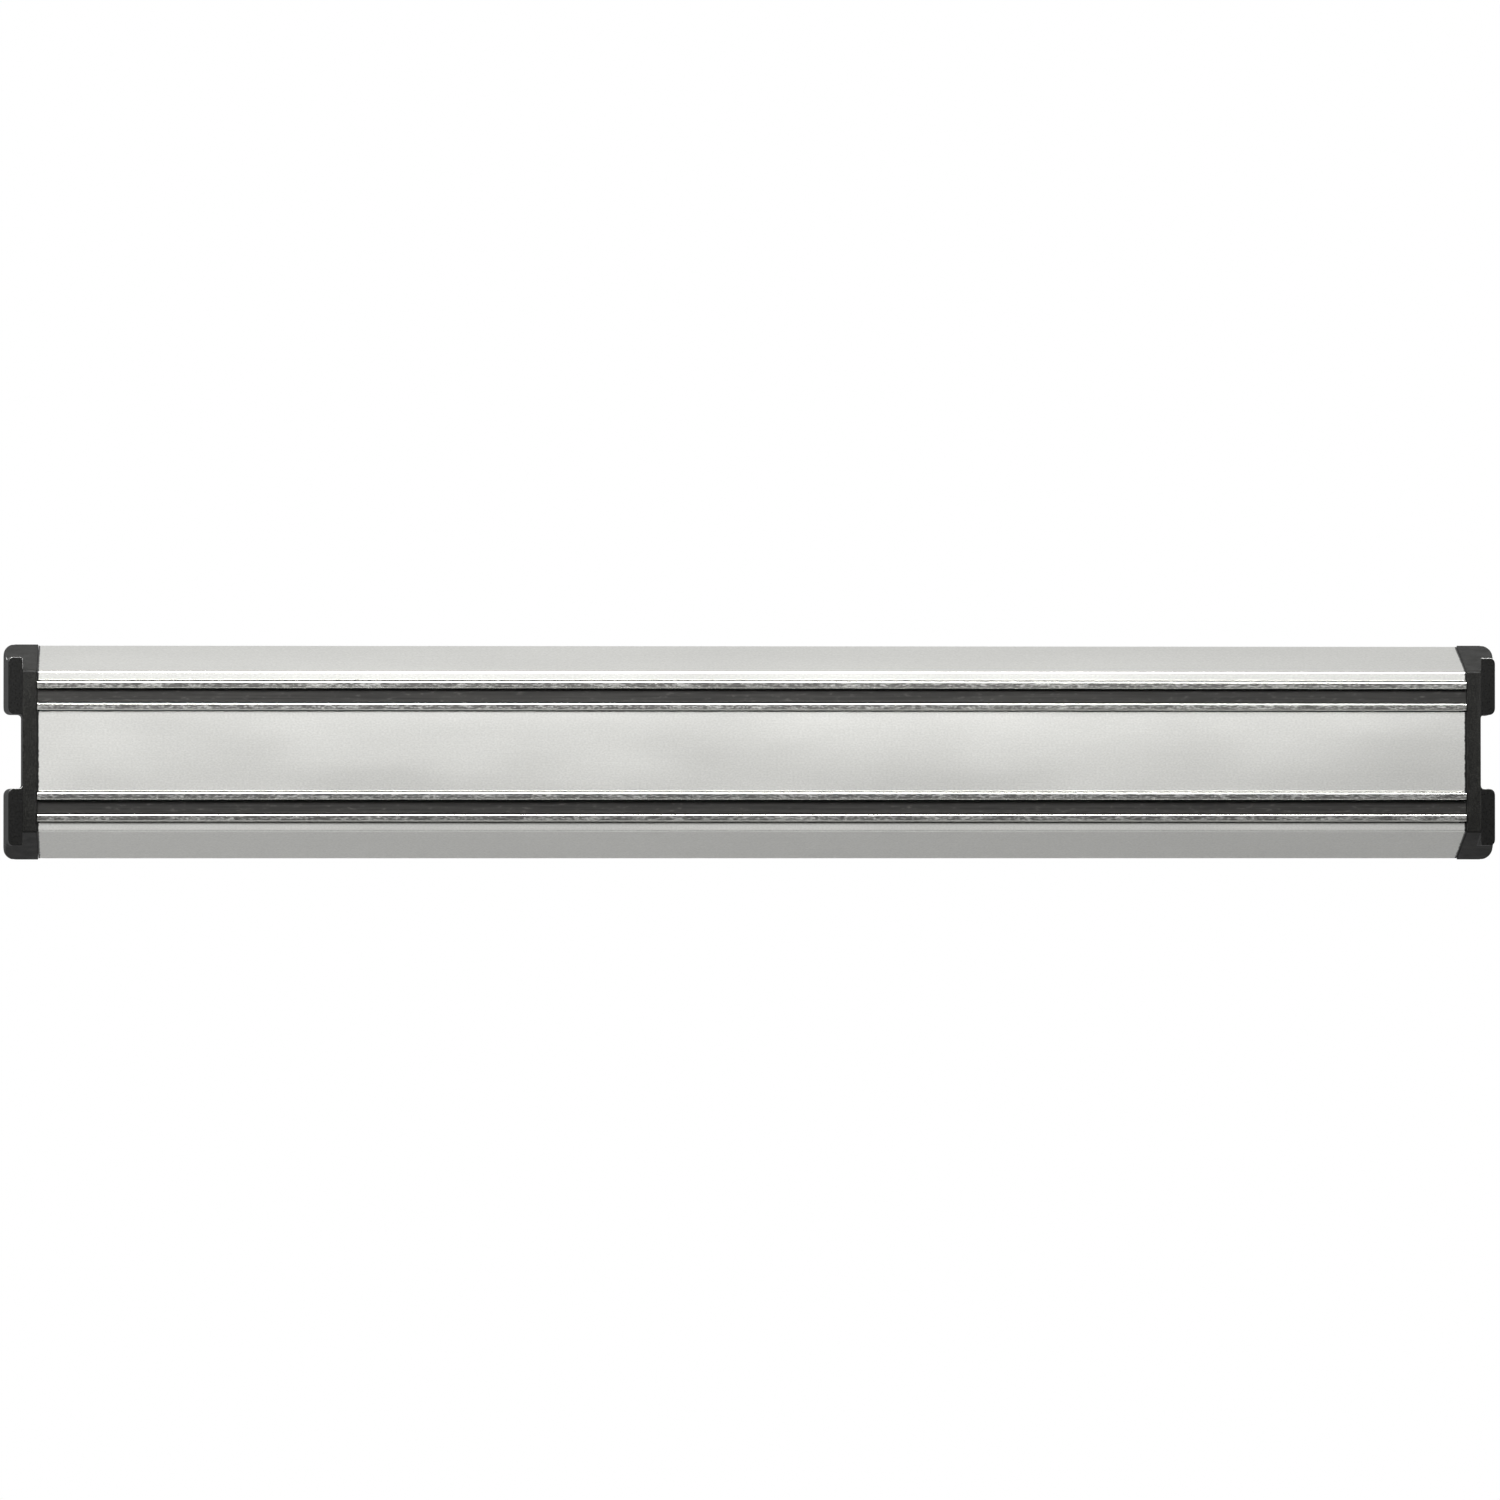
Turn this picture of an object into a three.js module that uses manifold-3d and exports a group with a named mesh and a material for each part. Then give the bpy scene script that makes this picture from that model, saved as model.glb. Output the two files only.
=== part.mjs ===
// Wall-mounted magnetic knife rack: an extruded aluminium profile with two magnet rails set into its
// face, a black moulded cap pushed into each end, and two wall brackets that slide in its open back.
// Millimetres. +X runs along the rack, +Z is up, and the face that holds the knives looks along -Y.
// The origin is the middle of the plane that lies on the wall, y = 0.
//
// Depth is measured forward from the wall. Two kinds of outline are used:
//   a section is drawn as (height, depth) and runs along X,
//   a front outline is drawn as (x, height) and runs forward.
import * as THREE from "three";
import { mergeVertices } from "three/addons/utils/BufferGeometryUtils.js";
import Module from "manifold-3d";

// ---- Driving dimensions ----------------------------------------------------------------------------

const RACK_LENGTH = 300; // over the end caps
const CAP_FLANGE = 3.5; // thickness at the wall of a cap's plate against the profile
const CAP_EAR = 3.5; // how far the two ears of a cap stand out past that plate at the wall
const CAP_TAPER = 0.186; // share of its thickness that a cap loses from the wall to its front
const JOINT_GAP = 0.2; // between the profile's sawn end and a cap
const STRIP_GAP = 0.1; // between the end of a strip and a cap
const ARC_STEPS = 8; // straight steps in a corner's arc
const MERGE_DISTANCE = 1e-4; // points closer than this are one point
const OVERRUN = 1; // how far a cutting or joining solid runs past the face it meets

const FACE_HALF_HEIGHT = 15.95; // flat front of the profile
const BACK_HALF_HEIGHT = 21.4; // profile where it meets the wall
const PROFILE_DEPTH = 18; // wall to aluminium face
const BEVEL_WALL = 1.5; // sloping top and bottom walls
const FACE_WALL = 1.6; // front wall between the grooves
const GROOVE_WALL = 1.3; // inner walls and floors of the grooves
const GROOVE_OUTER_WALL = 1.1;
const LIP_THICK = 1.5; // lips that hold the brackets at the back
const LIP_EDGE = 16.5; // height where a lip ends
const FRONT_EDGE_ROUND = 0.45;
const BACK_EDGE_ROUND = 0.15;

const RAIL_HEIGHT = 11.1; // middle of a rail above or below the rack's middle
const GROOVE_WIDTH = 6.25;
const GROOVE_DEPTH = 9.6;
const POLE_THICK = 1.6; // steel pole strip
const POLE_PROUD = 0.6; // how far the strips stand out of the aluminium
const POLE_ROUND = 0.4;
const POLE_SIDE_GAP = 0.15; // strip to groove wall
const POLE_FLOOR_GAP = 0.1;
const FIT_GAP = 0.05; // strip to magnet and strip to filler
const FILLER_RECESS = 0.2; // black filler below the aluminium face
const FILLER_THICK = 1.2;
const FILLER_ROUND = 0.3;
const MAGNETS_PER_RAIL = 6;
const MAGNET_SPACING = 0.3;
const MAGNET_FLOOR_GAP = 0.2;

const CAP_OVERLAP = 0.2; // cap stands this far outside the profile all round
const EAR_INNER_HEIGHT = 7.4; // the ears start here, so the notch between them is twice this
const BOSS_TOP = 18.8; // square boss on each ear, where the slope falls away behind it
const BOSS_CORNER = 1.2; // round of its outer corner
const BOSS_PROUD = 0.4; // how far the bosses stand in front of the plate
const EAR_OUTER_ROUND = 2.2;
const EAR_INNER_ROUND = 1.3;
const NOTCH_ROUND = 0.7;
const CAP_WALL = 1.4; // walls left round the hollows at the back of the ears
const CORE_DEPTH = 12;
const PLUG_LENGTH = 10;
const PLUG_GAP = 0.3;
const PLUG_WALL = 1.5;
const TONGUE_LENGTH = 12;
const TONGUE_HALF_HEIGHT = 17.3;
const TONGUE_THICK = 2.2;

const BRACKET_LENGTH = 30;
const BRACKET_SPACING = 190; // between the brackets' middles
const BRACKET_THICK = 1.5;
const BRACKET_GAP = 0.3; // to the lips
const BRACKET_HALF_HEIGHT = 18.4;
const BRACKET_CORNER = 2;
const BEND_INSIDE = 0.3;
const BEND_OUTSIDE = 1.2;
const SCREW_SLOT_RADIUS = 2.6;
const SCREW_SLOT_HALF_LENGTH = 3.5; // from the slot's middle to the centre of each round end

// ---- Dimensions worked out from those --------------------------------------------------------------

const CAP_OUTSIDE = RACK_LENGTH / 2;
const CAP_NOTCH_X = CAP_OUTSIDE - CAP_EAR;
const CAP_INSIDE = CAP_NOTCH_X - CAP_FLANGE;
const PROFILE_END = CAP_INSIDE - JOINT_GAP;
const STRIP_END = CAP_INSIDE - STRIP_GAP;
const CAP_DEPTH = PROFILE_DEPTH + CAP_OVERLAP;
const CAP_FACE_HALF_HEIGHT = FACE_HALF_HEIGHT + CAP_OVERLAP;
const CAP_BACK_HALF_HEIGHT = BACK_HALF_HEIGHT + CAP_OVERLAP;
const GROOVE_FLOOR = PROFILE_DEPTH - GROOVE_DEPTH;
const GROOVE_BACK = GROOVE_FLOOR - GROOVE_WALL;
const GROOVE_IN = RAIL_HEIGHT - GROOVE_WIDTH / 2;
const GROOVE_OUT = RAIL_HEIGHT + GROOVE_WIDTH / 2;
const CAVITY_HALF_HEIGHT = GROOVE_IN - GROOVE_WALL;
const FACE_BACK = PROFILE_DEPTH - FACE_WALL;
const POLE_OFFSET = GROOVE_WIDTH / 2 - POLE_SIDE_GAP - POLE_THICK / 2; // rail's middle to a strip's middle
const RAIL_CORE = 2 * (POLE_OFFSET - POLE_THICK / 2 - FIT_GAP); // width left between the strips
const FILLER_FRONT = PROFILE_DEPTH - FILLER_RECESS;
const FILLER_BACK = FILLER_FRONT - FILLER_THICK;
const MAGNET_LENGTH = (2 * STRIP_END - (MAGNETS_PER_RAIL + 1) * MAGNET_SPACING) / MAGNETS_PER_RAIL;

// ---- Materials -------------------------------------------------------------------------------------

const satinAluminium = new THREE.MeshStandardMaterial({ color: 0xd2d2cf, roughness: 0.42, metalness: 0.9 });
const brightSteel = new THREE.MeshStandardMaterial({ color: 0xc8c8c6, roughness: 0.22, metalness: 1 });
const blackFiller = new THREE.MeshStandardMaterial({ color: 0x3c3b3a, roughness: 0.6, metalness: 0 });
const ferrite = new THREE.MeshStandardMaterial({ color: 0x35353a, roughness: 0.7, metalness: 0.1 });
const blackCap = new THREE.MeshStandardMaterial({ color: 0x2b2b2b, roughness: 0.5, metalness: 0 });
const zincSteel = new THREE.MeshStandardMaterial({ color: 0xb4b7ba, roughness: 0.35, metalness: 0.9 });

// ---- Outlines --------------------------------------------------------------------------------------

// A closed outline through corners given as [u, v] or [u, v, radius]; a radius rounds that corner.
function outline(corners) {
  const shape = new THREE.Shape();
  corners.forEach(([u, v, radius = 0], i) => {
    const corner = new THREE.Vector2(u, v);
    if (radius === 0) {
      if (i === 0) shape.moveTo(u, v);
      else shape.lineTo(u, v);
      return;
    }
    const last = corners[(i + corners.length - 1) % corners.length];
    const next = corners[(i + 1) % corners.length];
    const back = new THREE.Vector2(last[0], last[1]).sub(corner).normalize();
    const ahead = new THREE.Vector2(next[0], next[1]).sub(corner).normalize();
    const half = Math.acos(THREE.MathUtils.clamp(back.dot(ahead), -1, 1)) / 2;
    const reach = radius / Math.tan(half);
    const start = corner.clone().addScaledVector(back, reach);
    const end = corner.clone().addScaledVector(ahead, reach);
    const toCentre = back.clone().add(ahead).normalize();
    const centre = corner.clone().addScaledVector(toCentre, radius / Math.sin(half));
    const from = Math.atan2(start.y - centre.y, start.x - centre.x);
    const to = Math.atan2(end.y - centre.y, end.x - centre.x);
    const turn = Math.atan2(Math.sin(to - from), Math.cos(to - from));
    if (i === 0) shape.moveTo(start.x, start.y);
    else shape.lineTo(start.x, start.y);
    for (let step = 1; step <= ARC_STEPS; step++) {
      const angle = from + (turn * step) / ARC_STEPS;
      shape.lineTo(centre.x + radius * Math.cos(angle), centre.y + radius * Math.sin(angle));
    }
  });
  return shape;
}

// A symmetric section from the corners of its upper half, (height, depth), front one first.
function mirrored(upperHalf) {
  const lowerHalf = upperHalf.map(([height, ...rest]) => [-height, ...rest]).reverse();
  return outline([...upperHalf, ...lowerHalf]);
}

function rectangle(u0, v0, u1, v1, radius = 0) {
  return outline([[u0, v0, radius], [u1, v0, radius], [u1, v1, radius], [u0, v1, radius]]);
}

// ---- Solids ----------------------------------------------------------------------------------------

const RIGHT = new THREE.Vector3(1, 0, 0);
const FORWARD = new THREE.Vector3(0, -1, 0);
const UP = new THREE.Vector3(0, 0, 1);

// An outline whose two directions are u and v, swept square to both between two distances.
function sweep(shape, u, v, from, to) {
  const along = u.clone().cross(v);
  const geometry = new THREE.ExtrudeGeometry(shape, { depth: to - from, bevelEnabled: false });
  geometry.deleteAttribute("normal");
  geometry.deleteAttribute("uv");
  geometry.applyMatrix4(new THREE.Matrix4().makeBasis(u, v, along));
  geometry.translate(along.x * from, along.y * from, along.z * from);
  return mergeVertices(geometry, MERGE_DISTANCE);
}

const alongX = (section, x0, x1) => sweep(section, UP, FORWARD, x0, x1);
const forward = (front, depth0, depth1) => sweep(front, RIGHT, UP, depth0, depth1);

const manifold = await Module();
manifold.setup();

function solid(geometry) {
  return new manifold.Manifold(
    new manifold.Mesh({
      numProp: 3,
      vertProperties: geometry.getAttribute("position").array,
      triVerts: new Uint32Array(geometry.index.array),
    }),
  );
}

function geometryOf(body) {
  const made = body.getMesh();
  const geometry = new THREE.BufferGeometry();
  geometry.setAttribute("position", new THREE.BufferAttribute(made.vertProperties, 3));
  geometry.setIndex(new THREE.BufferAttribute(made.triVerts, 1));
  geometry.computeVertexNormals();
  return geometry;
}

// ---- The aluminium profile -------------------------------------------------------------------------

// Height of the inner side of the sloping wall at a depth.
function innerSlope(depth) {
  const run = BACK_HALF_HEIGHT - FACE_HALF_HEIGHT;
  const wallAcross = (BEVEL_WALL * Math.hypot(run, PROFILE_DEPTH)) / PROFILE_DEPTH;
  return FACE_HALF_HEIGHT - wallAcross + (run * (PROFILE_DEPTH - depth)) / PROFILE_DEPTH;
}

function profileSection() {
  const sideWall = GROOVE_OUT + GROOVE_OUTER_WALL;
  const slopePerDepth = (BACK_HALF_HEIGHT - FACE_HALF_HEIGHT) / PROFILE_DEPTH;
  const sideVoidTip = PROFILE_DEPTH - (sideWall - innerSlope(PROFILE_DEPTH)) / slopePerDepth;
  return mirrored([
    [GROOVE_IN, PROFILE_DEPTH],
    [GROOVE_IN, GROOVE_FLOOR],
    [GROOVE_OUT, GROOVE_FLOOR],
    [GROOVE_OUT, PROFILE_DEPTH],
    [FACE_HALF_HEIGHT, PROFILE_DEPTH, FRONT_EDGE_ROUND],
    [BACK_HALF_HEIGHT, 0, BACK_EDGE_ROUND],
    [LIP_EDGE, 0],
    [LIP_EDGE, LIP_THICK],
    [innerSlope(LIP_THICK), LIP_THICK],
    [sideWall, sideVoidTip],
    [sideWall, GROOVE_BACK],
    [CAVITY_HALF_HEIGHT, GROOVE_BACK],
    [CAVITY_HALF_HEIGHT, FACE_BACK],
  ]);
}

// ---- The rails: two steel pole strips, a filler strip and a row of magnets -------------------------

function poleSection() {
  const half = POLE_THICK / 2;
  const back = GROOVE_FLOOR + POLE_FLOOR_GAP;
  const front = PROFILE_DEPTH + POLE_PROUD;
  return outline([[-half, back], [half, back], [half, front, POLE_ROUND], [-half, front, POLE_ROUND]]);
}

function fillerSection() {
  const half = RAIL_CORE / 2;
  return outline([
    [-half, FILLER_BACK],
    [half, FILLER_BACK],
    [half, FILLER_FRONT, FILLER_ROUND],
    [-half, FILLER_FRONT, FILLER_ROUND],
  ]);
}

function magnetSection() {
  const half = RAIL_CORE / 2;
  return rectangle(-half, GROOVE_FLOOR + MAGNET_FLOOR_GAP, half, FILLER_BACK - FIT_GAP);
}

// ---- The right-hand end cap; the left one is the same moulding turned round ------------------------

// The plate and its two ears from the front, round corners and notch included.
function capFrontOutline() {
  const upperHalf = [
    [CAP_NOTCH_X, EAR_INNER_HEIGHT, NOTCH_ROUND],
    [CAP_OUTSIDE, EAR_INNER_HEIGHT, EAR_INNER_ROUND],
    [CAP_OUTSIDE, CAP_BACK_HALF_HEIGHT, EAR_OUTER_ROUND],
    [CAP_INSIDE, CAP_BACK_HALF_HEIGHT],
  ];
  const lowerHalf = upperHalf.map(([x, height, ...rest]) => [x, -height, ...rest]).reverse();
  return outline([...upperHalf, ...lowerHalf]);
}

// Height of the cap's sloping top at a depth.
function capSlope(depth) {
  const run = CAP_BACK_HALF_HEIGHT - CAP_FACE_HALF_HEIGHT;
  return CAP_BACK_HALF_HEIGHT - (run * depth) / CAP_DEPTH;
}

// Plate and ears, before they are tapered: the sloping body and the bosses, cut to the front outline.
function capShell() {
  const slopes = mirrored([
    [CAP_FACE_HALF_HEIGHT, CAP_DEPTH, FRONT_EDGE_ROUND],
    [CAP_BACK_HALF_HEIGHT, 0],
  ]);
  const bosses = outline([
    [CAP_NOTCH_X, -BOSS_TOP],
    [CAP_OUTSIDE, -BOSS_TOP, BOSS_CORNER],
    [CAP_OUTSIDE, BOSS_TOP, BOSS_CORNER],
    [CAP_NOTCH_X, BOSS_TOP],
  ]);
  const front = CAP_DEPTH + BOSS_PROUD;
  return solid(alongX(slopes, CAP_INSIDE, CAP_OUTSIDE))
    .add(solid(forward(bosses, 0, front)))
    .intersect(solid(forward(capFrontOutline(), 0, front)));
}

// The hollow at the back of the upper ear, or of the lower one where side is -1.
function earCore(side) {
  const inner = EAR_INNER_HEIGHT + CAP_WALL;
  const section = outline([
    [side * inner, -OVERRUN],
    [side * (capSlope(-OVERRUN) - CAP_WALL), -OVERRUN],
    [side * (capSlope(CORE_DEPTH) - CAP_WALL), CORE_DEPTH],
    [side * inner, CORE_DEPTH],
  ]);
  return solid(alongX(section, CAP_INSIDE + CAP_WALL, CAP_OUTSIDE - CAP_WALL));
}

// What goes inside the profile: a hollow plug between the grooves and a flat tongue behind them.
function capPlug() {
  const half = CAVITY_HALF_HEIGHT - PLUG_GAP;
  const front = FACE_BACK - PLUG_GAP;
  const tongueFront = GROOVE_BACK - PLUG_GAP;
  const tongueBack = tongueFront - TONGUE_THICK;
  const root = CAP_INSIDE + OVERRUN;
  const plug = rectangle(-half, tongueBack, half, front);
  const tongue = rectangle(-TONGUE_HALF_HEIGHT, tongueBack, TONGUE_HALF_HEIGHT, tongueFront);
  const hollow = rectangle(PLUG_WALL - half, tongueFront, half - PLUG_WALL, front - PLUG_WALL);
  return solid(alongX(plug, CAP_INSIDE - PLUG_LENGTH, root))
    .add(solid(alongX(tongue, CAP_INSIDE - TONGUE_LENGTH, root)))
    .subtract(solid(alongX(hollow, CAP_INSIDE - PLUG_LENGTH - OVERRUN, CAP_INSIDE - PLUG_WALL)));
}

// Everything outside the profile gets thinner towards the front.
function taper(geometry) {
  const corners = geometry.getAttribute("position");
  for (let i = 0; i < corners.count; i++) {
    const outside = corners.getX(i) - CAP_INSIDE;
    const depth = -corners.getY(i);
    if (outside > 0) corners.setX(i, CAP_INSIDE + outside * (1 - (CAP_TAPER * depth) / CAP_DEPTH));
  }
  return geometry;
}

function endCap() {
  return taper(geometryOf(capShell().subtract(earCore(1)).subtract(earCore(-1)).add(capPlug())));
}

// ---- A wall bracket: pressed steel, its two edges stepped forward to run behind the lips -----------

function screwSlot() {
  const slot = new THREE.Path();
  slot.absarc(0, SCREW_SLOT_HALF_LENGTH, SCREW_SLOT_RADIUS, 0, Math.PI);
  slot.absarc(0, -SCREW_SLOT_HALF_LENGTH, SCREW_SLOT_RADIUS, Math.PI, 2 * Math.PI);
  slot.closePath();
  return slot;
}

function bracket() {
  const stepOut = LIP_EDGE - BRACKET_GAP;
  const flangeBack = LIP_THICK + BRACKET_GAP;
  const flangeFront = flangeBack + BRACKET_THICK;
  const bent = mirrored([
    [stepOut - BRACKET_THICK, BRACKET_THICK, BEND_INSIDE],
    [stepOut - BRACKET_THICK, flangeFront, BEND_OUTSIDE],
    [BRACKET_HALF_HEIGHT, flangeFront],
    [BRACKET_HALF_HEIGHT, flangeBack],
    [stepOut, flangeBack, BEND_INSIDE],
    [stepOut, 0, BEND_OUTSIDE],
  ]);
  const front = rectangle(
    -BRACKET_LENGTH / 2,
    -BRACKET_HALF_HEIGHT,
    BRACKET_LENGTH / 2,
    BRACKET_HALF_HEIGHT,
    BRACKET_CORNER,
  );
  front.holes.push(screwSlot());
  return geometryOf(
    solid(alongX(bent, -BRACKET_LENGTH / 2, BRACKET_LENGTH / 2)).intersect(
      solid(forward(front, -OVERRUN, flangeFront + OVERRUN)),
    ),
  );
}

// ---- Assembly --------------------------------------------------------------------------------------

const rack = new THREE.Group();

function add(name, geometry, material, x = 0, z = 0) {
  const mesh = new THREE.Mesh(geometry, material);
  mesh.name = name;
  mesh.position.set(x, 0, z);
  rack.add(mesh);
  return mesh;
}

add("profile", alongX(profileSection(), -PROFILE_END, PROFILE_END), satinAluminium);

const pole = alongX(poleSection(), -STRIP_END, STRIP_END);
const filler = alongX(fillerSection(), -STRIP_END, STRIP_END);
const magnet = alongX(magnetSection(), -MAGNET_LENGTH / 2, MAGNET_LENGTH / 2);

for (const [rail, height] of [["upper", RAIL_HEIGHT], ["lower", -RAIL_HEIGHT]]) {
  add(`${rail}_rail_top_pole`, pole, brightSteel, 0, height + POLE_OFFSET);
  add(`${rail}_rail_bottom_pole`, pole, brightSteel, 0, height - POLE_OFFSET);
  add(`${rail}_rail_filler`, filler, blackFiller, 0, height);
  for (let i = 0; i < MAGNETS_PER_RAIL; i++) {
    const x = (i - (MAGNETS_PER_RAIL - 1) / 2) * (MAGNET_LENGTH + MAGNET_SPACING);
    add(`${rail}_rail_magnet_${i + 1}`, magnet, ferrite, x, height);
  }
}

const cap = endCap();
add("right_end_cap", cap, blackCap);
add("left_end_cap", cap, blackCap).rotation.y = Math.PI;

const wallBracket = bracket();
add("left_wall_bracket", wallBracket, zincSteel, -BRACKET_SPACING / 2);
add("right_wall_bracket", wallBracket, zincSteel, BRACKET_SPACING / 2);

export default rack;
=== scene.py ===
"""Magnetic knife rack: fine meshes, materials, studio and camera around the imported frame."""
import math

import bmesh
import bpy
from mathutils import Matrix, Vector


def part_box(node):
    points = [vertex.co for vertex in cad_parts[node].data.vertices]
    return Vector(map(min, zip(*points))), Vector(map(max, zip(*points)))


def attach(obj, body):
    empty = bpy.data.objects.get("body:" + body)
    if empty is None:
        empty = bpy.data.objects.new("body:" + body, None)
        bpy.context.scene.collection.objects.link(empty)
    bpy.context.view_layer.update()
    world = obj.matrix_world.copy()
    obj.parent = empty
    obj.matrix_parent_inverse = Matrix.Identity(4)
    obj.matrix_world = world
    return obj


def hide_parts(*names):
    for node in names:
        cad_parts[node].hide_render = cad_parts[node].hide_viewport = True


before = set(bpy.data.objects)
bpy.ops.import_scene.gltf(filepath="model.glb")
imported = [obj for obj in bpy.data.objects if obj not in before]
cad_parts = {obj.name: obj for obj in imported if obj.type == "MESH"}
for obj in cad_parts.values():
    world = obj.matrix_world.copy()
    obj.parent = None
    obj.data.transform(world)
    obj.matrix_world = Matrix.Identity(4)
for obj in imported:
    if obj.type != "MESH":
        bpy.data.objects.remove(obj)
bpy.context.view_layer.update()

MM = 0.001
for spare in ("Cube", "Light", "Camera"):
    if spare in bpy.data.objects:
        bpy.data.objects.remove(bpy.data.objects[spare])

# ---- Sizes in millimetres ----------------------------------------------------------------------------
# X runs along the rack, height is Z, and depth is measured forward from the wall, towards -Y.


def box_mm(node):
    low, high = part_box(node)
    return [v / MM for v in low], [v / MM for v in high]


(PROFILE_X0, PROFILE_FRONT, _), (PROFILE_X1, _, _) = box_mm("profile")
(STRIP_X0, _, _), (STRIP_X1, POLE_BACK, POLE_HIGH) = box_mm("upper_rail_top_pole")
(_, _, FILLER_LOW), (_, _, FILLER_HIGH) = box_mm("upper_rail_filler")
PROFILE_DEPTH = -PROFILE_FRONT
PROFILE_OVERRUN = 0.15  # drawn past each end, so that no light shows through the joint with a cap
FACE_HALF_HEIGHT = 15.95
BACK_HALF_HEIGHT = 21.4

GROOVE_WALL = 1.3
OUTER_RIB = 1.1
FACE_WALL = 1.6
SLOPE_WALL = 1.5
RAIL_HEIGHT = (FILLER_LOW + FILLER_HIGH) / 2
GROOVE_HALF_WIDTH = POLE_HIGH - RAIL_HEIGHT + 0.15  # with the gap beside a strip
GROOVE_FLOOR = -POLE_BACK - 0.1  # with the gap behind a strip
GROOVE_BACK = GROOVE_FLOOR - GROOVE_WALL
GROOVE_IN = RAIL_HEIGHT - GROOVE_HALF_WIDTH
GROOVE_OUT = RAIL_HEIGHT + GROOVE_HALF_WIDTH
CAVITY_HALF_HEIGHT = GROOVE_IN - GROOVE_WALL
SIDE_WALL_HEIGHT = GROOVE_OUT + OUTER_RIB
FACE_BACK = PROFILE_DEPTH - FACE_WALL
STRIP_EASE = 0.1  # taken off each side of a pole strip, so that its gap reads as a dark line

NOTCH_X = 145.8  # the ears and their bosses lie beyond this
BOSS_TOP = 18.8
LIP_THICK = 1.5
LIP_EDGE = 16.5
SLOPE = (BACK_HALF_HEIGHT - FACE_HALF_HEIGHT) / PROFILE_DEPTH
SLOPE_WALL_HEIGHT = SLOPE_WALL * math.hypot(1, SLOPE)

ARC_STEPS = 8
SHARP_ANGLE = math.radians(32)
SHORTEST_SOFT_EDGE = 0.8
BRACKET_EDGE = 0.15

# The caps are rebuilt in cells of this size, smoothed, then thinned to a share of their faces.
CELL = 0.12
EASE_PASSES = 6
KEPT_SHARE = 0.3
JOIN_DISTANCE = 0.001

# A cap's slopes face almost straight up or down, and a little forward: their normals lie in here.
SLOPE_NORMAL_Z_OVER = 0.93
SLOPE_NORMAL_FORWARD = (0.2, 0.37)

# ---- Outlines ----------------------------------------------------------------------------------------


def rounded(corners):
    """A closed outline through corners (u, v) or (u, v, radius), each radius drawn as an arc."""
    points = []
    for i, corner in enumerate(corners):
        here = Vector(corner[:2])
        if len(corner) < 3:
            points.append(here)
            continue
        back = (Vector(corners[i - 1][:2]) - here).normalized()
        ahead = (Vector(corners[(i + 1) % len(corners)][:2]) - here).normalized()
        half = back.angle(ahead) / 2
        centre = here + (back + ahead).normalized() * corner[2] / math.sin(half)
        start = here + back * corner[2] / math.tan(half) - centre
        end = here + ahead * corner[2] / math.tan(half) - centre
        first = math.atan2(start.y, start.x)
        turn = math.remainder(math.atan2(end.y, end.x) - first, math.tau)
        for step in range(ARC_STEPS + 1):
            angle = first + turn * step / ARC_STEPS
            points.append(centre + corner[2] * Vector((math.cos(angle), math.sin(angle))))
    return points


def mirrored(upper_half):
    """A symmetric section from the corners of its upper half."""
    return upper_half + [(-corner[0], *corner[1:]) for corner in reversed(upper_half)]


def inner_slope(depth):
    """Height of the inside of the profile's sloping wall."""
    return FACE_HALF_HEIGHT - SLOPE_WALL_HEIGHT + SLOPE * (PROFILE_DEPTH - depth)


def profile_section():
    """The bar's section, open at the back, with a groove for each rail."""
    void_tip = PROFILE_DEPTH - (SIDE_WALL_HEIGHT - inner_slope(PROFILE_DEPTH)) / SLOPE
    return rounded(mirrored([
        (GROOVE_IN, PROFILE_DEPTH, 0.15),
        (GROOVE_IN, GROOVE_FLOOR, 0.2),
        (GROOVE_OUT, GROOVE_FLOOR, 0.2),
        (GROOVE_OUT, PROFILE_DEPTH, 0.15),
        (FACE_HALF_HEIGHT, PROFILE_DEPTH, 0.45),
        (BACK_HALF_HEIGHT, 0, 0.15),
        (LIP_EDGE, 0, 0.2),
        (LIP_EDGE, LIP_THICK, 0.2),
        (inner_slope(LIP_THICK), LIP_THICK, 0.4),
        (SIDE_WALL_HEIGHT, void_tip, 0.25),
        (SIDE_WALL_HEIGHT, GROOVE_BACK, 0.3),
        (CAVITY_HALF_HEIGHT, GROOVE_BACK, 0.3),
        (CAVITY_HALF_HEIGHT, FACE_BACK, 0.5),
    ]))


def strip_section(low, high, back, front, front_round, back_round):
    """A rectangle with rounded corners, for a strip that lies in a groove."""
    return rounded([
        (low, back, back_round),
        (high, back, back_round),
        (high, front, front_round),
        (low, front, front_round),
    ])


# ---- Meshes ------------------------------------------------------------------------------------------


def shade(mesh):
    """Smooth across the arcs, sharp at real edges."""
    mesh.shade_smooth()
    mesh.set_sharp_from_angle(angle=SHARP_ANGLE)


def bar_mesh(name, section, x0, x1):
    """A section (height, depth) swept along X. Its end faces get the second material."""
    form = bmesh.new()
    ends = [
        [form.verts.new((x * MM, -depth * MM, height * MM)) for height, depth in section]
        for x in (x0, x1)
    ]
    for i, vert in enumerate(ends[0]):
        j = (i + 1) % len(section)
        form.faces.new((vert, ends[0][j], ends[1][j], ends[1][i]))
    for end in ends:
        form.faces.new(end).material_index = 1
    bmesh.ops.recalc_face_normals(form, faces=form.faces)
    mesh = bpy.data.meshes.new(name)
    form.to_mesh(mesh)
    form.free()
    shade(mesh)
    return mesh


def cleaned_form(node):
    """A CAD node's shape with its split corners joined and its flat faces made whole."""
    form = bmesh.new()
    form.from_mesh(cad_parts[node].data)
    bmesh.ops.remove_doubles(form, verts=form.verts, dist=JOIN_DISTANCE * MM)
    bmesh.ops.dissolve_limit(
        form, angle_limit=math.radians(1), verts=form.verts, edges=form.edges
    )
    return form


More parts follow.
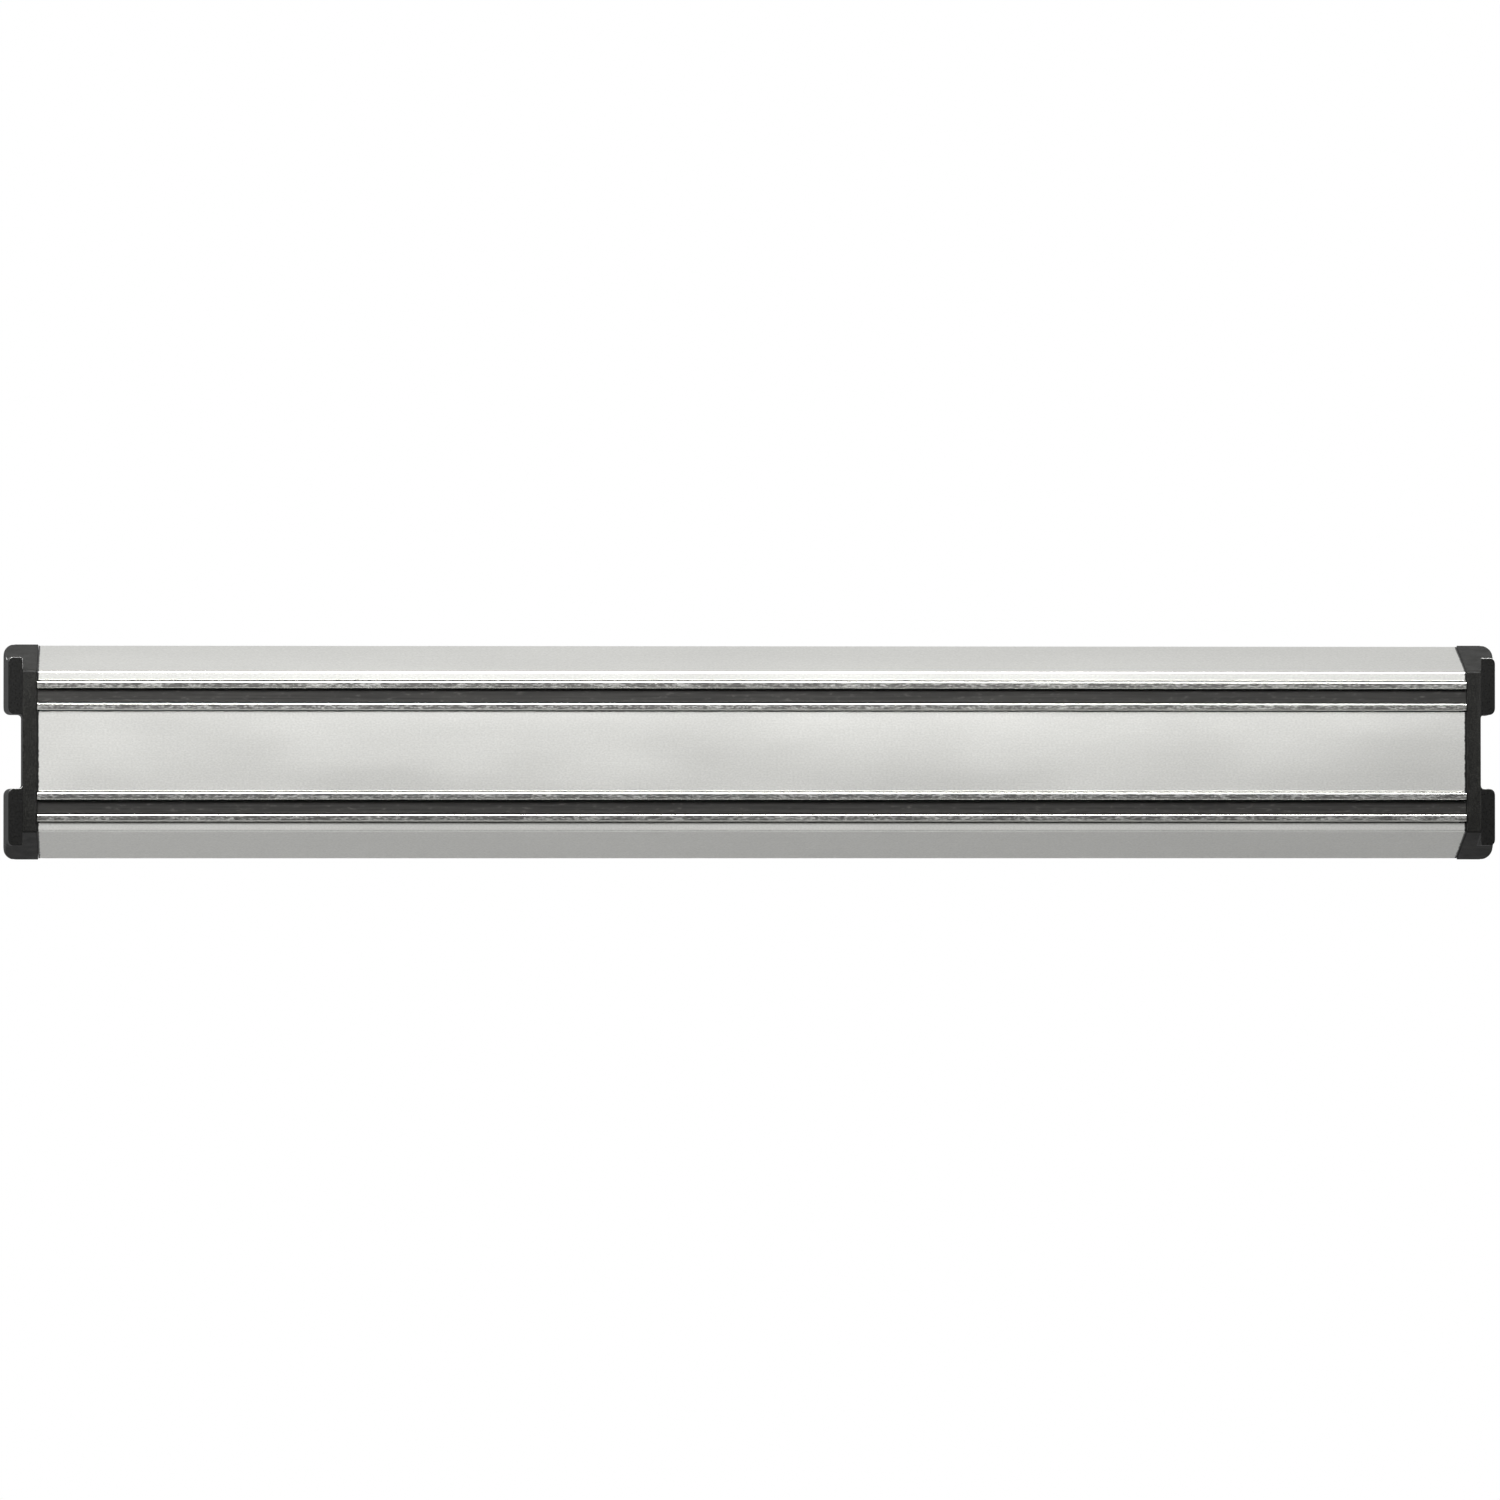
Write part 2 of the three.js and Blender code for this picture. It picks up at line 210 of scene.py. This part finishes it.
def softened_mesh(form, name, width):
    """Rounds the long outside edges of a shape. Its corners are round already."""
    edges = [
        edge for edge in form.edges
        if edge.calc_face_angle_signed(0) > SHARP_ANGLE
        and edge.calc_length() > SHORTEST_SOFT_EDGE * MM
    ]
    bmesh.ops.bevel(
        form, geom=edges, offset=width * MM, segments=2, profile=0.5, affect="EDGES", material=-1
    )
    mesh = bpy.data.meshes.new(name)
    form.to_mesh(mesh)
    form.free()
    shade(mesh)
    return mesh


def moulded_mesh(node):
    """A CAD node's solid rebuilt in fine cells and eased, so that its edges are a little round.

    The ears get the second material, apart from their slopes.
    """
    blank = bpy.data.meshes.new(node)
    form = bmesh.new()
    form.from_mesh(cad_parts[node].data)
    bmesh.ops.scale(form, vec=(1 / MM, 1 / MM, 1 / MM), verts=form.verts)
    bmesh.ops.remove_doubles(form, verts=form.verts, dist=JOIN_DISTANCE)
    form.to_mesh(blank)
    form.free()
    carrier = bpy.data.objects.new(node, blank)
    bpy.context.scene.collection.objects.link(carrier)
    cells = carrier.modifiers.new("cells", "REMESH")
    cells.mode = "VOXEL"
    cells.voxel_size = CELL
    ease = carrier.modifiers.new("ease", "SMOOTH")
    ease.factor = 0.5
    ease.iterations = EASE_PASSES
    thin = carrier.modifiers.new("thin", "DECIMATE")
    thin.ratio = KEPT_SHARE
    carrier.update_tag()
    evaluated = carrier.evaluated_get(bpy.context.evaluated_depsgraph_get())
    mesh = bpy.data.meshes.new_from_object(evaluated)
    bpy.data.objects.remove(carrier)
    mesh.transform(Matrix.Scale(MM, 4))
    mesh.name = node
    mesh.materials.clear()
    mesh.shade_smooth()
    for face in mesh.polygons:
        upright = abs(face.normal.z) > SLOPE_NORMAL_Z_OVER
        leans = SLOPE_NORMAL_FORWARD[0] < -face.normal.y < SLOPE_NORMAL_FORWARD[1]
        on_ear = abs(face.center.x) > NOTCH_X * MM
        face.material_index = int(on_ear and not (upright and leans))
    return mesh


def piece(name, mesh, body, node, materials):
    """A finished piece that stands for a CAD node and rides on its body."""
    made = bpy.data.objects.new(name, mesh)
    bpy.context.scene.collection.objects.link(made)
    for material in materials:
        mesh.materials.append(material)
    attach(made, body)
    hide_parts(node)
    return made


def weigh_normals(made):
    """Keeps wide flat faces flat in the shading, so that only the arcs beside them look round."""
    weighted = made.modifiers.new("even_shading", "WEIGHTED_NORMAL")
    weighted.weight = 100
    weighted.keep_sharp = True


# ---- Materials ---------------------------------------------------------------------------------------


class Look:
    """One procedural material. Sizes of noise are in millimetres, in the object's own frame."""

    def __init__(self, name, metallic, roughness):
        self.material = bpy.data.materials.new(name)
        self.material.use_nodes = True
        self.tree = self.material.node_tree
        self.shader = self.tree.nodes["Principled BSDF"]
        self.shader.inputs["Metallic"].default_value = metallic
        self.shader.inputs["Roughness"].default_value = roughness
        self.place = self.node("ShaderNodeTexCoord").outputs["Object"]

    def node(self, kind, **inputs):
        made = self.tree.nodes.new(kind)
        for socket, value in inputs.items():
            self.feed(made.inputs[socket], value)
        return made

    def feed(self, socket, value):
        if isinstance(value, bpy.types.NodeSocket):
            self.tree.links.new(value, socket)
        else:
            socket.default_value = value

    def noise(self, size, along=1.0, detail=2.0, roughness=0.5):
        """Noise whose grains are size millimetres across and along times longer in X."""
        across = 1 / (size * MM)
        stretched = self.node("ShaderNodeMapping", Vector=self.place)
        stretched.inputs["Scale"].default_value = (across / along, across, across)
        made = self.node("ShaderNodeTexNoise", Vector=stretched.outputs[0])
        made.inputs["Scale"].default_value = 1.0
        made.inputs["Detail"].default_value = detail
        made.inputs["Roughness"].default_value = roughness
        return made.outputs["Fac"]

    def remap(self, value, low, high, to_low=0.0, to_high=1.0):
        """The value with low..high drawn to to_low..to_high, and held there outside."""
        made = self.node("ShaderNodeMapRange", Value=value)
        made.inputs["From Min"].default_value = low
        made.inputs["From Max"].default_value = high
        made.inputs["To Min"].default_value = to_low
        made.inputs["To Max"].default_value = to_high
        return made.outputs[0]

    def blend(self, factor, first, second):
        """The first colour where the factor is 0, the second where it is 1."""
        made = self.node("ShaderNodeMix")
        made.data_type = "RGBA"
        self.feed(made.inputs["Factor"], factor)
        for socket, colour in ((made.inputs[6], first), (made.inputs[7], second)):
            self.feed(socket, colour if isinstance(colour, bpy.types.NodeSocket) else (*colour, 1))
        return made.outputs[2]

    def maths(self, operation, *values):
        made = self.node("ShaderNodeMath")
        made.operation = operation
        for socket, value in zip(made.inputs, values):
            self.feed(socket, value)
        return made.outputs[0]

    def position(self, axis):
        """Where a point is along one axis, in metres."""
        return self.node("ShaderNodeSeparateXYZ", Vector=self.place).outputs[axis]

    def facing(self, axis):
        """How far the surface is turned to one axis, from -1 to 1."""
        normal = self.node("ShaderNodeNewGeometry").outputs["Normal"]
        return self.node("ShaderNodeSeparateXYZ", Vector=normal).outputs[axis]

    def colour(self, value):
        self.feed(self.shader.inputs["Base Color"], value)

    def roughness(self, value):
        self.feed(self.shader.inputs["Roughness"], value)

    def bump(self, *heights):
        """Each height is (value, depth in millimetres); they add up."""
        normal = None
        for value, depth in heights:
            made = self.node("ShaderNodeBump", Height=value)
            made.inputs["Distance"].default_value = depth * MM
            made.inputs["Strength"].default_value = 1.0
            if normal:
                self.feed(made.inputs["Normal"], normal)
            normal = made.outputs[0]
        self.feed(self.shader.inputs["Normal"], normal)


def satin_aluminium():
    """Anodised aluminium with a fine blasted grain and drawn lines along it; its ends carry painted
    shade where they meet the caps.
    """
    look = Look("satin_aluminium", metallic=1.0, roughness=0.42)
    grain = look.noise(0.3, along=1.6, detail=3, roughness=0.6)
    coarse = look.noise(0.8, along=2, detail=2)
    lines = look.noise(0.3, along=120)
    clouds = look.noise(14, along=3)
    tone = look.blend(look.remap(grain, 0.3, 0.7), (0.70, 0.70, 0.672), (0.86, 0.86, 0.832))
    tone = look.blend(look.remap(coarse, 0.35, 0.65, 0, 0.3), tone, (0.74, 0.74, 0.71))
    tone = look.blend(look.remap(lines, 0.35, 0.65, 0, 0.12), tone, (0.66, 0.66, 0.64))
    # Painted shade: the last 0.15 mm at each end is painted near black, where shade falls in the joints
    # with the caps; noise makes its edge ragged.
    from_middle = look.maths("ABSOLUTE", look.position("X"))
    ragged_reach = look.maths("MULTIPLY_ADD", look.noise(0.6, detail=3), 0.5 * MM, from_middle)
    painted_joint_shade = look.remap(ragged_reach, PROFILE_X1 * MM, (PROFILE_X1 + PROFILE_OVERRUN) * MM)
    look.colour(look.blend(painted_joint_shade, tone, (0.03, 0.03, 0.03)))
    look.roughness(look.remap(clouds, 0.3, 0.7, 0.39, 0.42))
    look.bump((grain, 0.004), (lines, 0.001))
    return look.material


def sawn_aluminium():
    """The bare metal of the profile's cut ends."""
    look = Look("sawn_aluminium", metallic=1.0, roughness=0.32)
    marks = look.noise(0.5, detail=3)
    look.colour(look.blend(look.remap(marks, 0.3, 0.7), (0.78, 0.78, 0.77), (0.9, 0.9, 0.89)))
    look.roughness(look.remap(marks, 0.3, 0.7, 0.25, 0.45))
    look.bump((marks, 0.01))
    return look.material


def bright_steel():
    """Bare steel with grinding streaks along its front face, which is painted dark as a painted
    reflection of the dark room before it, between smoother edges that stay bright.
    """
    look = Look("bright_steel", metallic=1.0, roughness=0.3)
    streaks = look.noise(0.25, along=3, detail=4, roughness=0.7)
    fine = look.noise(0.09, along=30, detail=2)
    patches = look.noise(1.2, along=4, detail=3)
    # Faces turned to the front get the painted dark reflection, mottled by the streaks; the rounded
    # edges keep the bright steel tone.
    front_facing = look.remap(look.facing("Y"), -0.93, -0.998)
    dark_share = look.remap(patches, 0.35, 0.65, 0.38, 0.27)
    streaks_and_dark_reflection = look.maths("MULTIPLY", look.maths("SUBTRACT", streaks, dark_share), 4.5)
    streaks_and_dark_reflection.node.use_clamp = True
    centre = look.blend(streaks_and_dark_reflection, (0.60, 0.60, 0.575), (0.10, 0.098, 0.094))
    tone = look.blend(front_facing, (0.80, 0.80, 0.765), centre)
    look.colour(look.blend(look.remap(fine, 0.3, 0.7, 0, 0.2), tone, (0.42, 0.415, 0.39)))
    look.roughness(look.remap(front_facing, 0.0, 1.0, 0.22, 0.42))
    look.bump((fine, 0.0005))
    return look.material


def black_filler():
    """Extruded black plastic with faint lines along it and a little pale dust."""
    look = Look("black_filler", metallic=0.0, roughness=0.5)
    look.shader.inputs["Specular IOR Level"].default_value = 0.2
    lines = look.noise(0.3, along=60)
    dust = look.noise(0.5, along=3, detail=4)
    tone = look.blend(look.remap(lines, 0.3, 0.7), (0.008, 0.0078, 0.0073), (0.016, 0.0156, 0.0146))
    look.colour(look.blend(look.remap(dust, 0.6, 0.75, 0, 0.5), tone, (0.05, 0.0485, 0.0455)))
    look.roughness(look.remap(dust, 0.3, 0.7, 0.42, 0.58))
    look.bump((lines, 0.006), (dust, 0.005))
    return look.material


def black_moulding():
    """Black plastic: spark-eroded grain on the plate and slopes, smooth on the bosses."""
    look = Look("black_moulding", metallic=0.0, roughness=0.5)
    look.shader.inputs["Specular IOR Level"].default_value = 0.12
    grain = look.noise(0.22, detail=2)
    clouds = look.noise(3, detail=2)
    look.colour(look.blend(look.remap(grain, 0.4, 0.68), (0.003, 0.003, 0.0028), (0.013, 0.013, 0.0118)))
    look.roughness(look.remap(clouds, 0.3, 0.7, 0.40, 0.5))
    look.bump((grain, 0.02))
    return look.material


def black_boss():
    """The same plastic where the mould was polished, with a painted highlight along the bosses' upper
    edges.
    """
    look = Look("black_boss", metallic=0.0, roughness=0.3)
    look.shader.inputs["Specular IOR Level"].default_value = 0.13
    grain = look.noise(0.35, detail=2)
    tone = look.blend(look.remap(grain, 0.35, 0.7), (0.004, 0.004, 0.0039), (0.008, 0.008, 0.0077))
    # Painted highlight: edges turned up and forward, below the tops of the bosses, are painted pale and
    # broken up by the grain.
    upward = look.remap(look.facing("Z"), 0.3, 0.6)
    forward = look.remap(look.facing("Y"), -0.15, -0.4)
    on_boss = look.remap(look.position("Z"), (BOSS_TOP + 0.2) * MM, (BOSS_TOP + 0.1) * MM)
    edge = look.maths("MULTIPLY", upward, forward)
    grained_highlight = look.maths("MULTIPLY", edge, look.remap(grain, 0.25, 0.5, 0.5, 1))
    painted_highlight = look.maths("MULTIPLY", grained_highlight, on_boss)
    look.colour(look.blend(painted_highlight, tone, (0.4, 0.4, 0.39)))
    look.roughness(look.remap(grain, 0.3, 0.7, 0.26, 0.34))
    look.bump((grain, 0.002))
    return look.material


def ferrite():
    """Dark grey sintered magnet."""
    look = Look("ferrite", metallic=0.0, roughness=0.7)
    grain = look.noise(0.3, detail=4)
    look.colour(look.blend(look.remap(grain, 0.35, 0.65), (0.025, 0.025, 0.028), (0.05, 0.05, 0.054)))
    look.roughness(look.remap(grain, 0.3, 0.7, 0.6, 0.8))
    look.bump((grain, 0.02))
    return look.material


def zinc_plate():
    """Pressed steel with a blotchy zinc coat."""
    look = Look("zinc_plate", metallic=1.0, roughness=0.3)
    blotches = look.noise(2.2, detail=3)
    fine = look.noise(0.2, detail=2)
    look.colour(look.blend(look.remap(blotches, 0.35, 0.65), (0.60, 0.62, 0.64), (0.72, 0.73, 0.74)))
    look.roughness(look.remap(blotches, 0.3, 0.7, 0.26, 0.42))
    look.bump((fine, 0.004))
    return look.material


ALUMINIUM = satin_aluminium()
SAWN = sawn_aluminium()
STEEL = bright_steel()
FILLER = black_filler()
MOULDING = black_moulding()
BOSS = black_boss()
FERRITE = ferrite()
ZINC = zinc_plate()

# ---- The bar -----------------------------------------------------------------------------------------

profile = piece(
    "aluminium_profile",
    bar_mesh(
        "aluminium_profile", profile_section(),
        PROFILE_X0 - PROFILE_OVERRUN, PROFILE_X1 + PROFILE_OVERRUN,
    ),
    "bar", "profile", [ALUMINIUM, SAWN],
)
weigh_normals(profile)

for rail in ("upper_rail", "lower_rail"):
    for part in ("top_pole", "bottom_pole"):
        node = f"{rail}_{part}"
        (_, front, low), (_, back, high) = box_mm(node)
        section = strip_section(
            low + STRIP_EASE, high - STRIP_EASE, -back, -front, front_round=0.26, back_round=0.15
        )
        strip = piece(
            f"{rail}_{part}_strip", bar_mesh(node, section, STRIP_X0, STRIP_X1),
            "bar", node, [STEEL, STEEL],
        )
        weigh_normals(strip)
    node = f"{rail}_filler"
    (_, front, low), (_, back, high) = box_mm(node)
    section = strip_section(low, high, -back, -front, front_round=0.3, back_round=0.1)
    strip = piece(
        f"{rail}_filler_strip", bar_mesh(node, section, STRIP_X0, STRIP_X1),
        "bar", node, [FILLER, FILLER],
    )
    weigh_normals(strip)
    for name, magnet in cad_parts.items():
        if name.startswith(f"{rail}_magnet"):
            magnet.data.materials.clear()
            magnet.data.materials.append(FERRITE)

# ---- Caps and brackets -------------------------------------------------------------------------------

CAP = moulded_mesh("right_end_cap")
for side, turn in (("left", math.pi), ("right", 0)):
    node = f"{side}_end_cap"
    mesh = CAP.copy()
    mesh.transform(Matrix.Rotation(turn, 4, "Y"))
    cap = piece(
        f"{side}_cap_moulding", mesh, f"{side}_cap", node, [MOULDING, BOSS]
    )
    weigh_normals(cap)
    node = f"{side}_wall_bracket"
    bracket = piece(
        f"{side}_bracket_pressing", softened_mesh(cleaned_form(node), node, BRACKET_EDGE),
        f"{side}_bracket", node, [ZINC],
    )
    weigh_normals(bracket)

# ---- Studio and camera -------------------------------------------------------------------------------

FLOOR_DROP = 0.45
FLOOR_RADIUS = 4.5
FLOOR_SIDES = 64


def pale_floor():
    """A round pale floor well below the rack."""
    form = bmesh.new()
    rim = [
        form.verts.new((FLOOR_RADIUS * math.cos(a), FLOOR_RADIUS * math.sin(a), -FLOOR_DROP))
        for a in (math.tau * i / FLOOR_SIDES for i in range(FLOOR_SIDES))
    ]
    form.faces.new(rim)
    mesh = bpy.data.meshes.new("pale_floor")
    form.to_mesh(mesh)
    form.free()
    floor = bpy.data.objects.new("pale_floor", mesh)
    bpy.context.scene.collection.objects.link(floor)
    look = Look("pale_floor", metallic=0.0, roughness=0.9)
    look.shader.inputs["Base Color"].default_value = (0.85, 0.85, 0.85, 1)
    mesh.materials.append(look.material)


def soft_light(name, place, aim, size, watts):
    """A rectangular light that the camera doesn't see."""
    data = bpy.data.lights.new(name, "AREA")
    data.shape = "RECTANGLE"
    data.size, data.size_y = size
    data.energy = watts
    light = bpy.data.objects.new(name, data)
    light.location = place
    light.visible_camera = False
    light.rotation_euler = (Vector(aim) - Vector(place)).to_track_quat("-Z", "Y").to_euler()
    bpy.context.scene.collection.objects.link(light)


def add_camera(azimuth, elevation, distance, target, width_seen):
    """A camera round the target at those angles in degrees, whose view is width_seen across there."""
    turn, lift = math.radians(azimuth), math.radians(elevation)
    back = Vector((math.sin(turn) * math.cos(lift), -math.cos(turn) * math.cos(lift), math.sin(lift)))
    data = bpy.data.cameras.new("camera")
    data.sensor_width = 36
    data.lens = data.sensor_width * distance / width_seen
    camera = bpy.data.objects.new("camera", data)
    camera.location = target + back * distance
    camera.rotation_euler = (-back).to_track_quat("-Z", "Y").to_euler()
    bpy.context.scene.collection.objects.link(camera)
    bpy.context.scene.camera = camera


def studio_air(seen, given):
    """A white surround: as bright as seen behind the rack, and giving a softer light all round."""
    world = bpy.data.worlds.new("studio")
    bpy.context.scene.world = world
    world.use_nodes = True
    nodes, links = world.node_tree.nodes, world.node_tree.links
    backdrop = nodes["Background"]
    backdrop.inputs["Color"].default_value = (1, 1, 1, 1)
    backdrop.inputs["Strength"].default_value = seen
    ambient = nodes.new("ShaderNodeBackground")
    ambient.inputs["Color"].default_value = (1, 1, 1, 1)
    ambient.inputs["Strength"].default_value = given
    choice = nodes.new("ShaderNodeMixShader")
    links.new(nodes.new("ShaderNodeLightPath").outputs["Is Camera Ray"], choice.inputs[0])
    links.new(ambient.outputs[0], choice.inputs[1])
    links.new(backdrop.outputs[0], choice.inputs[2])
    links.new(choice.outputs[0], nodes["World Output"].inputs["Surface"])


pale_floor()
studio_air(seen=1.0, given=0.19)
# The key is a narrow strip close above the bar, so that the face grows darker downwards.
soft_light("key", place=(-0.18, -0.12, 0.12), aim=(-0.18, 0, 0), size=(0.8, 0.06), watts=3.5)
soft_light("overhead", place=(0, -0.6, 2.6), aim=(0, -0.3, 0), size=(4.0, 3.0), watts=7)
soft_light("back_wash", place=(-0.4, 1.5, 1.1), aim=(0, 0, 0), size=(3.0, 1.2), watts=5.7)

bpy.context.scene.view_settings.view_transform = "Standard"

add_camera(
    azimuth=-2.8, elevation=-0.5, distance=2.2,
    target=Vector((-0.0008, -PROFILE_DEPTH * MM, 0.0003)), width_seen=0.2997,
)
